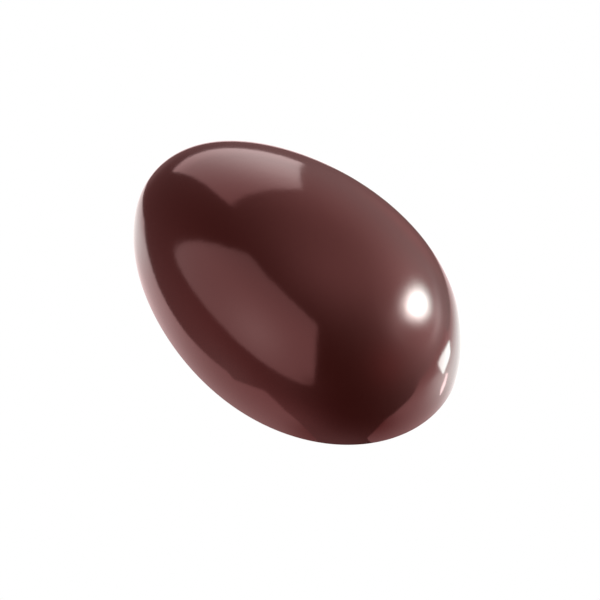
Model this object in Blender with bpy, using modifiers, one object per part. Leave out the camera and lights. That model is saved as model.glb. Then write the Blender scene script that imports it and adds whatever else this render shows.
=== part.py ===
"""Half of a moulded chocolate egg, solid, lying on its flat side.

Units are metres and +Z is up. The long axis of the egg is X, with the blunt end
towards +X, and the origin is the middle of the flat base.

    blender --background --python part.py
"""
import math

import bmesh
import bpy

# Driving dimensions.
LENGTH = 0.060           # tip to tip
WIDTH = 0.0387           # at the widest place; half an egg is half as high
RIM_RADIUS = 0.00015     # rounding of the edge between the dome and the base

# Form of the outline, as factors on a plain ellipse.
TAPER = 0.127            # widens the blunt end and narrows the other one
FULLNESS = 0.036         # fills out both ends alike
TIP_EASE = -0.035        # takes back some of the taper close to the tips

# Facets.
SEGMENTS_ROUND = 96      # around the rim
SEGMENTS_UP = 24         # from the rim to the top
RIM_SEGMENTS = 2         # across the rounding of the rim
PROFILE_SAMPLES = 1000   # stations searched for the widest place

# Chocolate.
CHOCOLATE_COLOR = (0.045, 0.012, 0.009, 1.0)
CHOCOLATE_ROUGHNESS = 0.12


def clear_scene():
    """Remove every object that is in the scene already."""
    for obj in list(bpy.data.objects):
        bpy.data.objects.remove(obj, do_unlink=True)


def swell(station):
    """Widening of the ellipse at a station from -1, the narrow tip, to 1, the blunt tip."""
    return 1.0 + TAPER * station + FULLNESS * station ** 2 + TIP_EASE * station ** 3


def widest_radius():
    """Largest radius of the egg whose ellipse has the radius 1."""
    stations = [2.0 * i / PROFILE_SAMPLES - 1.0 for i in range(PROFILE_SAMPLES + 1)]
    return max(math.sqrt(1.0 - s * s) * swell(s) for s in stations)


def half_ball(mesh):
    """The upper half of a ball of radius 1, with a flat base on z = 0."""
    mesh.clear()
    bmesh.ops.create_uvsphere(
        mesh, u_segments=SEGMENTS_ROUND, v_segments=2 * SEGMENTS_UP, radius=1.0)
    bmesh.ops.bisect_plane(
        mesh, geom=mesh.verts[:] + mesh.edges[:] + mesh.faces[:], dist=1e-5,
        plane_co=(0.0, 0.0, 0.0), plane_no=(0.0, 0.0, 1.0), clear_inner=True)
    rim = [edge for edge in mesh.edges if edge.is_boundary]
    for edge in rim:
        for vert in edge.verts:
            vert.co.z = 0.0
    bmesh.ops.holes_fill(mesh, edges=rim, sides=0)
    bmesh.ops.recalc_face_normals(mesh, faces=mesh.faces[:])


def stretch_to_egg(mesh):
    """Stretch the half ball to the egg's length, and swell it around its long axis."""
    radius = 0.5 * WIDTH / widest_radius()
    for vert in mesh.verts:
        girth = radius * swell(vert.co.x)
        vert.co.x *= 0.5 * LENGTH
        vert.co.y *= girth
        vert.co.z *= girth


def round_rim(egg):
    """Round the edge between the dome and the base."""
    bevel = egg.modifiers.new("rim", "BEVEL")
    bevel.width = RIM_RADIUS
    bevel.segments = RIM_SEGMENTS
    bevel.limit_method = "ANGLE"
    bevel.angle_limit = math.radians(60.0)
    bevel.harden_normals = True


def chocolate():
    """Smooth, glossy chocolate."""
    material = bpy.data.materials.new("chocolate")
    material.use_nodes = True
    shader = material.node_tree.nodes["Principled BSDF"]
    shader.inputs["Base Color"].default_value = CHOCOLATE_COLOR
    shader.inputs["Roughness"].default_value = CHOCOLATE_ROUGHNESS
    shader.inputs["Metallic"].default_value = 0.0
    material.diffuse_color = CHOCOLATE_COLOR
    return material


def make_egg(collection):
    """The half egg, one solid."""
    mesh = bmesh.new()
    half_ball(mesh)
    stretch_to_egg(mesh)
    data = bpy.data.meshes.new("half_egg")
    mesh.to_mesh(data)
    mesh.free()
    data.shade_smooth()
    data.materials.append(chocolate())
    egg = bpy.data.objects.new("half_egg", data)
    collection.objects.link(egg)
    round_rim(egg)
    return egg


def main():
    clear_scene()
    collection = bpy.data.collections.new("chocolate_half_egg")
    bpy.context.scene.collection.children.link(collection)
    make_egg(collection)


main()
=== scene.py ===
import math

import bmesh
import bpy
from mathutils import Matrix, Vector, noise


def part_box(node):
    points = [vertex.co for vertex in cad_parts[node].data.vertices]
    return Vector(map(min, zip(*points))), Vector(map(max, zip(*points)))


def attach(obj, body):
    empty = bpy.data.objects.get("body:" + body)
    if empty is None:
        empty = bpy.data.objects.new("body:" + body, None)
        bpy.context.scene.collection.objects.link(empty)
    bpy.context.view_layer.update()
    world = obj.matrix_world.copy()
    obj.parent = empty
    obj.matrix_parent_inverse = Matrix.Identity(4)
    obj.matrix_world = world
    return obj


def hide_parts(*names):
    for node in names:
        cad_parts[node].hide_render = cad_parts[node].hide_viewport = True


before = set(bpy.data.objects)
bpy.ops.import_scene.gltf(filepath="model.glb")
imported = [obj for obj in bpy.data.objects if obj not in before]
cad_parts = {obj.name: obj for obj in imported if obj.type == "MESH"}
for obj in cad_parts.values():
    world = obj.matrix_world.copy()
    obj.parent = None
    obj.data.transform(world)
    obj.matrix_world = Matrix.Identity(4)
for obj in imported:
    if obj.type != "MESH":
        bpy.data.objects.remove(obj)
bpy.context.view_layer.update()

# The egg. +X is its blunt end, and it lies on z = 0.
EGG_LOW, EGG_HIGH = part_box("half_egg")
LENGTH = EGG_HIGH.x - EGG_LOW.x
WIDTH = EGG_HIGH.y - EGG_LOW.y
HALF = 0.5 * LENGTH
CENTRE = Vector((0.5 * (EGG_LOW.x + EGG_HIGH.x), 0.5 * (EGG_LOW.y + EGG_HIGH.y), EGG_LOW.z))

TAPER = 0.127            # the same form as the solid's: widens the blunt end
FULLNESS = 0.036         # fills out both ends alike
TIP_EASE = -0.035        # takes back some of the taper close to the tips
RIM_RADIUS = 0.00015     # rounding of the edge between the dome and the base
SEGMENTS_ROUND = 360
SEGMENTS_UP = 90
RIM_SEGMENTS = 3
PROFILE_SAMPLES = 1000

RIPPLE_HEIGHT = 0.000012  # slow waves that a mould leaves in the gloss
RIPPLE_LENGTH = 0.009
RIPPLE_START = 0.25      # share of the height over which they grow from nothing at the rim
GRAIN_HEIGHT = 0.00001   # finer unevenness, that wavers the reflections' edges
GRAIN_LENGTH = 0.0020
SCRAPE_HEIGHT = 0.00006  # marks that a scraper leaves along the underside
SCRAPE_LENGTH = 0.012
SCRAPE_WIDTH = 0.0007

# The chocolate. The colour of each finish wanders a little, between a deep and a pale one.
GLOSS_DEEP = (0.0275, 0.0070, 0.0054, 1.0)
GLOSS_PALE = (0.0355, 0.0094, 0.0076, 1.0)
SATIN_DEEP = (0.036, 0.0085, 0.0070, 1.0)
SATIN_PALE = (0.052, 0.0135, 0.0110, 1.0)
REFLECTED_TINT = (1.0, 0.42, 0.42, 1.0)
GLOSS_IOR = 1.925
GLOSS_ROUGHNESS = 0.085  # at its smoothest, before smears and mottle add theirs
SMEAR_ROUGHNESS = 0.04
MOTTLE_ROUGHNESS = 0.03
SATIN_ROUGHNESS = 0.28
SCRAPE_ROUGHNESS = 0.25

# The camera looks down at the egg from beyond its blunt end, well to one side.
VIEW_AZIMUTH = math.radians(50.73)
VIEW_ELEVATION = math.radians(49.46)
CAMERA_DISTANCE = 2.0 * LENGTH
LENS = 47.92
SHIFT = (0.0288, -0.0230)

AWAY = Vector((-math.sin(VIEW_AZIMUTH), math.cos(VIEW_AZIMUTH), 0.0))
RIGHT = Vector((math.cos(VIEW_AZIMUTH), math.sin(VIEW_AZIMUTH), 0.0))
UP = Vector((0.0, 0.0, 1.0))

STUDIO_RADIUS = 1.6      # of the pale floor and the backdrop behind it
PANEL_DISTANCE = 0.6     # from the egg to the plane of a soft panel
LAMP_DISTANCE = 1.0
LAMP_MARGIN = 2.6        # from the middle of a lamp's card to its edge, in radii of the glow
BOARD_DROP = 0.0001      # the board lies just under the egg, and the floor just under the board
FLOOR_DROP = 0.0002
GLINT_LIFT = 0.00002     # the glints lie just over the board
CORNER_STEPS = 6
CARD_SEGMENTS = 48       # round a lamp's card, and round the backdrop
FLOOR_SEGMENTS = 64

# The tints of the soft light. The gloss reddens all that it reflects, and COOL the least.
WHITE = Vector((1.0, 1.0, 1.0))
WARM = Vector((1.0, 0.72, 0.72))
COOL = Vector((0.66, 1.0, 0.97))
BROWN = Vector((1.0, 0.1, 0.1))
LAMPLIGHT = Vector((22.0, 43.0, 41.0))
DARK = Vector((0.0, 0.0, 0.0))


def direction(bearing, elevation):
    """Unit vector: bearing 0 is away from the camera and 90 to its right, in degrees."""
    b, e = math.radians(bearing), math.radians(elevation)
    level = math.sin(b) * RIGHT + math.cos(b) * AWAY
    return math.cos(e) * level + math.sin(e) * UP


# ---------------------------------------------------------------- nodes

class Nodes:
    """Short ways to add nodes to one node tree."""

    def __init__(self, tree):
        self.tree = tree

    def add(self, kind, **settings):
        node = self.tree.nodes.new(kind)
        for name, value in settings.items():
            setattr(node, name, value)
        return node

    def put(self, socket, value):
        """Link value to a socket if it is one itself, or set it as the socket's number."""
        if isinstance(value, bpy.types.NodeSocket):
            self.tree.links.new(value, socket)
        else:
            socket.default_value = value

    def math(self, operation, *values):
        node = self.add("ShaderNodeMath", operation=operation)
        for socket, value in zip(node.inputs, values):
            self.put(socket, value)
        return node.outputs[0]

    def vector(self, operation, *values):
        node = self.add("ShaderNodeVectorMath", operation=operation)
        for socket, value in zip(node.inputs, values):
            self.put(socket, value)
        return node.outputs["Value"] if operation in ("DISTANCE", "LENGTH") else node.outputs[0]

    def noise(self, where, size, detail=2.0):
        node = self.add("ShaderNodeTexNoise")
        self.put(node.inputs["Vector"], where)
        node.inputs["Scale"].default_value = 1.0 / size
        node.inputs["Detail"].default_value = detail
        return node.outputs["Fac"]

    def blend(self, share, first, second):
        """From one colour at share 0 to another at share 1."""
        node = self.add("ShaderNodeMix", data_type="RGBA")
        self.put(node.inputs["Factor"], share)
        node.inputs["A"].default_value = first
        node.inputs["B"].default_value = second
        return node.outputs["Result"]

    def bump(self, relief, height):
        """A normal for relief from 0 to 1 that stands so many metres high."""
        node = self.add("ShaderNodeBump")
        node.inputs["Distance"].default_value = height
        self.put(node.inputs["Height"], relief)
        return node.outputs["Normal"]

    def position(self):
        return self.add("ShaderNodeNewGeometry").outputs["Position"]

    def fade(self, distance):
        """1 where the distance is 0, about a third where it is 1, and nothing far away."""
        square = self.math("POWER", distance, 2.0)
        return self.math("EXPONENT", self.math("MULTIPLY", square, -1.0))

    def blob(self, ray, bearing, elevation, degrees):
        """A soft round spot on the sphere of directions, so many degrees from centre to edge."""
        spread = 2.0 * math.sin(0.5 * math.radians(degrees))
        distance = self.vector("DISTANCE", ray, direction(bearing, elevation))
        return self.fade(self.math("DIVIDE", distance, spread))

    def above(self, position, low, high):
        """0 at one height and 1 at the other, and even between them."""
        split = self.add("ShaderNodeSeparateXYZ")
        self.put(split.inputs[0], position)
        share = self.add("ShaderNodeMapRange")
        self.put(share.inputs["Value"], split.outputs["Z"])
        share.inputs["From Min"].default_value = low
        share.inputs["From Max"].default_value = high
        return share.outputs["Result"]

    def glow(self, base, spots):
        """The base colour, plus each spot's colour times its share; a negative one darkens."""
        colour = self.vector("ADD", base, DARK)
        for share, tint in spots:
            scaled = self.add("ShaderNodeVectorMath", operation="SCALE")
            scaled.inputs[0].default_value = tint
            self.put(scaled.inputs["Scale"], share)
            colour = self.vector("ADD", colour, scaled.outputs[0])
        return colour


# ---------------------------------------------------------------- chocolate

def new_material(name):
    material = bpy.data.materials.new(name)
    material.use_nodes = True
    tree = material.node_tree
    return material, Nodes(tree), tree.nodes["Principled BSDF"]


def gloss_chocolate():
    """The dome: polished chocolate that came out of a smooth mould."""
    material, nodes, shader = new_material("chocolate_gloss")
    where = nodes.add("ShaderNodeTexCoord").outputs["Object"]
    shade = nodes.noise(where, size=0.006, detail=4.0)
    smear = nodes.math("MULTIPLY", nodes.noise(where, size=0.003, detail=3.0), SMEAR_ROUGHNESS)
    mottle = nodes.math("MULTIPLY", nodes.noise(where, size=0.0003), MOTTLE_ROUGHNESS)
    marks = nodes.math("ADD", smear, mottle)
    grain = nodes.noise(where, size=GRAIN_LENGTH, detail=3.0)
    nodes.put(shader.inputs["Base Color"], nodes.blend(shade, GLOSS_DEEP, GLOSS_PALE))
    nodes.put(shader.inputs["Roughness"], nodes.math("ADD", marks, GLOSS_ROUGHNESS))
    nodes.put(shader.inputs["Normal"], nodes.bump(grain, GRAIN_HEIGHT))
    shader.inputs["IOR"].default_value = GLOSS_IOR
    shader.inputs["Specular Tint"].default_value = REFLECTED_TINT
    return material


def satin_chocolate():
    """The underside, scraped level along the egg while the chocolate was soft."""
    material, nodes, shader = new_material("chocolate_satin")
    where = nodes.add("ShaderNodeTexCoord").outputs["Object"]
    along = nodes.vector("MULTIPLY", where, (SCRAPE_WIDTH / SCRAPE_LENGTH, 1.0, 1.0))
    scrapes = nodes.noise(along, size=SCRAPE_WIDTH, detail=3.0)
    marks = nodes.math("MULTIPLY", scrapes, SCRAPE_ROUGHNESS)
    shade = nodes.noise(where, size=0.004, detail=4.0)
    nodes.put(shader.inputs["Base Color"], nodes.blend(shade, SATIN_DEEP, SATIN_PALE))
    nodes.put(shader.inputs["Roughness"], nodes.math("ADD", marks, SATIN_ROUGHNESS))
    nodes.put(shader.inputs["Normal"], nodes.bump(scrapes, SCRAPE_HEIGHT))
    shader.inputs["Specular Tint"].default_value = REFLECTED_TINT
    return material


# ---------------------------------------------------------------- egg

def new_object(name, mesh, *materials):
    """An object with this mesh, which is used up, and these materials."""
    data = bpy.data.meshes.new(name)
    mesh.to_mesh(data)
    mesh.free()
    for material in materials:
        data.materials.append(material)
    made = bpy.data.objects.new(name, data)
    bpy.context.scene.collection.objects.link(made)
    return made


def swell(station):
    """Widening of the ellipse at a station from -1, the narrow tip, to 1, the blunt tip."""
    return 1.0 + TAPER * station + FULLNESS * station ** 2 + TIP_EASE * station ** 3


def widest_radius():
    """Largest radius of the egg whose ellipse has the radius 1."""
    stations = [2.0 * i / PROFILE_SAMPLES - 1.0 for i in range(PROFILE_SAMPLES + 1)]
    return max(math.sqrt(1.0 - s * s) * swell(s) for s in stations)


def half_ball(mesh):
    """Fill the mesh with the upper half of a ball of radius 1, whose flat base is on z = 0."""
    bmesh.ops.create_uvsphere(
        mesh, u_segments=SEGMENTS_ROUND, v_segments=2 * SEGMENTS_UP, radius=1.0)
    bmesh.ops.bisect_plane(
        mesh, geom=mesh.verts[:] + mesh.edges[:] + mesh.faces[:], dist=1e-5,
        plane_co=(0.0, 0.0, 0.0), plane_no=(0.0, 0.0, 1.0), clear_inner=True)
    rim = [edge for edge in mesh.edges if edge.is_boundary]
    for edge in rim:
        for vert in edge.verts:
            vert.co.z = 0.0
    base = bmesh.ops.holes_fill(mesh, edges=rim, sides=0)["faces"][0]
    bmesh.ops.recalc_face_normals(mesh, faces=mesh.faces[:])
    base.material_index = 1


def stretch_to_egg(mesh):
    """Stretch the half ball to the solid's size, with ripples in the dome."""
    radius = 0.5 * WIDTH / widest_radius()
    for vert in mesh.verts:
        ball = vert.co.copy()
        girth = radius * swell(ball.x)
        place = Vector((HALF * ball.x, girth * ball.y, girth * ball.z))
        wave = noise.noise(place / RIPPLE_LENGTH)
        dent = RIPPLE_HEIGHT * (1.0 + wave) * min(1.0, ball.z / RIPPLE_START)
        vert.co = place - dent * ball.normalized()


def make_egg():
    """The half egg: gloss dome on slot 0, satin base on slot 1."""
    mesh = bmesh.new()
    half_ball(mesh)
    stretch_to_egg(mesh)
    egg = new_object("egg", mesh, gloss_chocolate(), satin_chocolate())
    egg.location = CENTRE
    egg.data.shade_smooth()
    bevel = egg.modifiers.new("rim", "BEVEL")
    bevel.width = RIM_RADIUS
    bevel.segments = RIM_SEGMENTS
    bevel.limit_method = "ANGLE"
    bevel.angle_limit = math.radians(60.0)
    bevel.material = 0
    bevel.harden_normals = True
    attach(egg, "root")
    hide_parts("half_egg")


# ---------------------------------------------------------------- studio

def glowing(name, shape, clear=False):
    """A material that gives off light; shape(nodes, position) is its colour."""
    material = bpy.data.materials.new(name)
    material.use_nodes = True
    tree = material.node_tree
    tree.nodes.clear()
    nodes = Nodes(tree)
    emission = nodes.add("ShaderNodeEmission")
    nodes.put(emission.inputs["Color"], shape(nodes, nodes.position()))
    light = emission.outputs[0]
    if clear:
        both = nodes.add("ShaderNodeAddShader")
        nodes.put(both.inputs[0], light)
        nodes.put(both.inputs[1], nodes.add("ShaderNodeBsdfTransparent").outputs[0])
        light = both.outputs[0]
    output = nodes.add("ShaderNodeOutputMaterial")
    nodes.put(output.inputs["Surface"], light)
    return material


def plain_light(name, colour):
    """A material that gives off the same light all over."""
    return glowing(name, lambda nodes, position: nodes.glow(colour, []))


def staged(name, corners, material):
    """A flat card with these corners, which isn't part of the object."""
    mesh = bmesh.new()
    mesh.faces.new([mesh.verts.new(corner) for corner in corners])
    card = new_object(name, mesh, material)
    return card


def ring(segments, radius, height=0.0):
    """Corners of a level round card about the upright axis."""
    turns = [2.0 * math.pi * i / segments for i in range(segments)]
    return [Vector((radius * math.cos(t), radius * math.sin(t), height)) for t in turns]


def reflected_only(card):
    """The card lights the egg and shows in its gloss, but the camera doesn't see it."""
    card.visible_camera = False
    return card


def rounded(corners):
    """A flat outline with rounded corners; each corner is (x, y, how far off it the curve starts)."""
    outline = []
    for i, (x, y, size) in enumerate(corners):
        here = Vector((x, y))
        before = Vector(corners[i - 1][:2]) - here
        after = Vector(corners[(i + 1) % len(corners)][:2]) - here
        start, end = here + size * before.normalized(), here + size * after.normalized()
        for step in range(CORNER_STEPS + 1):
            t = step / CORNER_STEPS
            outline.append((1.0 - t) ** 2 * start + 2.0 * t * (1.0 - t) * here + t ** 2 * end)
    return outline


def panel(name, bearing, corners, shape):
    """An upright soft panel. Its corners are across and up, as shares of the distance."""
    ahead, across = direction(bearing, 0.0), direction(bearing + 90.0, 0.0)
    places = [PANEL_DISTANCE * (ahead + p.x * across + p.y * UP) for p in rounded(corners)]
    return reflected_only(staged(name, places, glowing(name, shape)))


def make_panels():
    """A wide panel behind the camera on its left, and a narrower one behind the egg."""
    def wide_shape(nodes, position):
        ray = nodes.vector("NORMALIZE", position)
        return nodes.glow(0.9 * WARM + 0.25 * COOL, [
            (nodes.blob(ray, -123.0, 21.0, 17.0), 0.6 * COOL),
            (nodes.blob(ray, -162.0, 6.0, 7.0), -0.4 * WHITE),
            (nodes.above(position, 0.8 * PANEL_DISTANCE, 2.2 * PANEL_DISTANCE), -0.3 * WARM),
        ])

    def back_shape(nodes, position):
        ray = nodes.vector("NORMALIZE", position)
        return nodes.glow(WARM, [
            (nodes.above(position, 0.15 * PANEL_DISTANCE, -0.05 * PANEL_DISTANCE), 0.4 * WARM),
            (nodes.blob(ray, 3.2, 14.4, 22.0), 0.6 * WHITE + 0.85 * COOL),
        ])

    panel("wide_panel", -138.4, [
        (-0.46, 0.06, 0.15), (0.75, 0.07, 0.2), (1.50, 0.01, 0.3), (2.40, 0.0, 0.6), (2.42, 1.0, 0.3),
        (1.87, 2.44, 0.25), (0.9, 1.86, 0.3), (-0.435, 1.45, 0.06),
    ], wide_shape)
    panel("back_panel", -35.5, [
        (0.025, -0.035, 0.03), (0.40, -0.085, 0.2), (0.968, -0.115, 0.02), (0.878, 0.765, 0.06),
        (0.45, 0.815, 0.3), (-0.12, 0.785, 0.03), (0.003, 0.30, 0.12),
    ], back_shape)


def lamp(name, bearing, elevation, tilt, radii, colour):
    """A clear card that faces the egg, with a glow that fades out from its middle.

    The glow's radii are across and up, as shares of the distance, before the card is tilted.
    """
    def shape(nodes, position):
        where = nodes.add("ShaderNodeTexCoord").outputs["Object"]
        return nodes.glow(DARK, [(nodes.fade(nodes.vector("LENGTH", where)), colour)])

    corners = ring(CARD_SEGMENTS, LAMP_MARGIN)
    card = reflected_only(staged(name, corners, glowing(name, shape, clear=True)))
    back = direction(bearing + 180.0, -elevation)
    level = direction(bearing + 90.0, 0.0)
    place = Matrix.Translation(-LAMP_DISTANCE * back)
    facing = Matrix((level, back.cross(level), back)).transposed().to_4x4()
    turn = Matrix.Rotation(math.radians(tilt), 4, "Z")
    size = Matrix.Diagonal((LAMP_DISTANCE * radii[0], LAMP_DISTANCE * radii[1], 1.0, 1.0))
    card.matrix_world = place @ facing @ turn @ size


def make_lamps():
    """The bright lamp, and the soft streak of light beside it."""
    lamp("lamp", 80.7, 21.4, 46.0, (0.226, 0.113), LAMPLIGHT)
    lamp("streak", 77.0, -1.5, 13.0, (0.28, 0.06), 1.3 * COOL)


def on_board(name, corners, light, lift=0.0):
    """A level card where the board lies, or lifted off it, with corners in halves of the egg's length."""
    level = EGG_LOW.z - BOARD_DROP + lift
    places = [Vector((HALF * p.x, HALF * p.y, level)) for p in rounded(corners)]
    return reflected_only(staged(name, places, light))


def board_light(nodes, position):
    """The board's painted light: brighter where the lamp shines on it, and painted shadow of the egg near
    its blunt end.
    """
    def spot(x, y, radius, colour):
        middle = (HALF * x, HALF * y, EGG_LOW.z)
        distance = nodes.vector("DISTANCE", position, middle)
        return nodes.fade(nodes.math("DIVIDE", distance, HALF * radius)), colour

    return nodes.glow(1.15 * WARM, [
        # painted pools of the lamp's light on the board
        spot(1.40, 0.95, 0.25, 0.45 * WARM),
        spot(1.35, 0.50, 0.35, 0.3 * COOL),
        spot(1.12, 0.32, 0.20, 1.4 * COOL),
        spot(0.90, 0.60, 0.28, 1.5 * COOL),
        # painted shadow of the egg beside its blunt end
        spot(1.12, -0.32, 0.20, -0.65 * WHITE),
        spot(0.80, -0.50, 0.15, -0.5 * WHITE),
        # painted glow round the lamp's wide glint
        spot(1.35, 0.42, 0.15, 0.8 * COOL),
        # painted light along the near side, brighter away from the egg, a little darker at its narrow-end
        # corner
        spot(-0.95, -0.50, 0.35, 0.85 * COOL),
        spot(-1.20, -0.64, 0.16, -0.2 * COOL),
        spot(-0.35, -0.78, 0.35, 0.25 * WHITE),
    ])


def make_board():
    """The board under the egg, which the lower part of the dome reflects: a glowing card with painted
    light and painted shadow on it.
    """
    near_side = [
        (-1.32, -0.58, 0.08), (-0.85, -0.738, 0.1), (-0.20, -0.865, 0.1), (0.22, -0.98, 0.02),
        (0.31, -0.92, 0.03), (0.575, -1.155, 0.03), (0.67, -0.94, 0.02),
    ]
    blunt_end = [
        (0.765, -0.63, 0.05), (0.785, -0.44, 0.02), (0.75, -0.30, 0.05), (0.90, -0.20, 0.02),
        (0.95, -0.30, 0.02), (1.20, -0.243, 0.08), (1.42, -0.09, 0.08), (1.62, 0.10, 0.1),
        (2.5, 0.70, 0.1), (2.5, 1.8, 0.1),
    ]
    far_side = [
        (1.5, 1.8, 0.1), (1.2, 1.10, 0.1), (0.8, 1.05, 0.1), (0.45, 0.92, 0.1),
        (0.2, 0.80, 0.05), (-0.35, 0.82, 0.1), (-0.65, 0.95, 0.1), (-1.0, 0.92, 0.1),
    ]
    narrow_end = [
        (-1.36, 0.72, 0.2), (-1.42, 0.3, 0.1), (-1.27, 0.0, 0.02), (-1.20, -0.1, 0.03),
        (-1.22, -0.18, 0.03),
    ]
    outline = near_side + blunt_end + far_side + narrow_end
    on_board("board", outline, glowing("board", board_light))


def make_glints():
    """Two bright glints of the lamp on the board, a wide one and a thin one."""
    on_board("wide_glint", [
        (1.18, 0.40, 0.04), (1.58, 0.78, 0.08), (1.62, 0.94, 0.06), (1.40, 0.96, 0.06),
        (1.15, 0.89, 0.03), (1.11, 0.62, 0.06), (1.165, 0.51, 0.04),
    ], plain_light("wide_glint", 9.8 * COOL), GLINT_LIFT)
    on_board("thin_glint", [
        (1.055, 0.165, 0.01), (1.10, 0.24, 0.02), (1.12, 0.39, 0.01), (1.08, 0.38, 0.01),
        (1.06, 0.26, 0.02),
    ], plain_light("thin_glint", 6.0 * WHITE), GLINT_LIFT)


def make_backdrop():
    """The plain pale floor, and a backdrop of the same tone; only the camera sees them."""
    pale = plain_light("pale", WHITE)
    floor = staged("floor", ring(FLOOR_SEGMENTS, STUDIO_RADIUS, EGG_LOW.z - FLOOR_DROP), pale)
    ball = bmesh.new()
    bmesh.ops.create_uvsphere(
        ball, u_segments=CARD_SEGMENTS, v_segments=CARD_SEGMENTS // 2, radius=STUDIO_RADIUS)
    backdrop = new_object("backdrop", ball, pale)
    for piece in (floor, backdrop):
        piece.visible_diffuse = False
        piece.visible_glossy = False
        piece.visible_transmission = False
        piece.visible_shadow = False


def make_world():
    """Soft light from all round: bright on the lamp's side, dark behind the camera."""
    world = bpy.data.worlds.new("studio")
    bpy.context.scene.world = world
    world.use_nodes = True
    tree = world.node_tree
    nodes = Nodes(tree)
    ray = nodes.add("ShaderNodeTexCoord").outputs["Generated"]
    background = tree.nodes["Background"]

    def sky(bearing, elevation, degrees, colour):
        return nodes.blob(ray, bearing, elevation, degrees), colour

    nodes.put(background.inputs["Color"], nodes.glow(0.09 * BROWN, [
        sky(12.0, 22.0, 38.0, 0.6 * WARM),
        sky(50.0, 85.0, 32.0, 0.4 * WARM + 0.12 * COOL),
        sky(-105.0, -15.0, 45.0, 0.34 * WARM + 0.08 * BROWN),
        sky(81.0, 14.0, 39.0, 1.15 * WARM + 0.7 * COOL),
        sky(106.0, 35.0, 11.0, 0.65 * COOL),
        sky(137.0, 20.0, 18.0, 0.16 * BROWN),
        sky(34.0, -15.0, 14.0, 0.2 * BROWN),
        sky(-25.0, -24.0, 8.0, 0.12 * WARM),
        sky(-115.0, -25.0, 14.0, 0.15 * COOL),
        sky(-148.0, -32.0, 18.0, 0.3 * WARM),
        sky(-147.0, 5.0, 18.0, 0.1 * WHITE),
        sky(-175.0, -58.0, 22.0, 0.3 * WARM),
    ]))


def make_camera():
    data = bpy.data.cameras.new("camera")
    data.lens = LENS
    data.shift_x, data.shift_y = SHIFT
    data.clip_start, data.clip_end = 0.01, 10.0
    camera = bpy.data.objects.new("camera", data)
    back = math.sin(VIEW_ELEVATION) * UP - math.cos(VIEW_ELEVATION) * AWAY
    camera.location = CENTRE + CAMERA_DISTANCE * back
    camera.rotation_euler = back.to_track_quat("Z", "Y").to_euler()
    bpy.context.scene.collection.objects.link(camera)
    bpy.context.scene.camera = camera


make_egg()
make_panels()
make_lamps()
make_board()
make_glints()
make_backdrop()
make_world()
make_camera()
bpy.context.scene.view_settings.view_transform = "Standard"
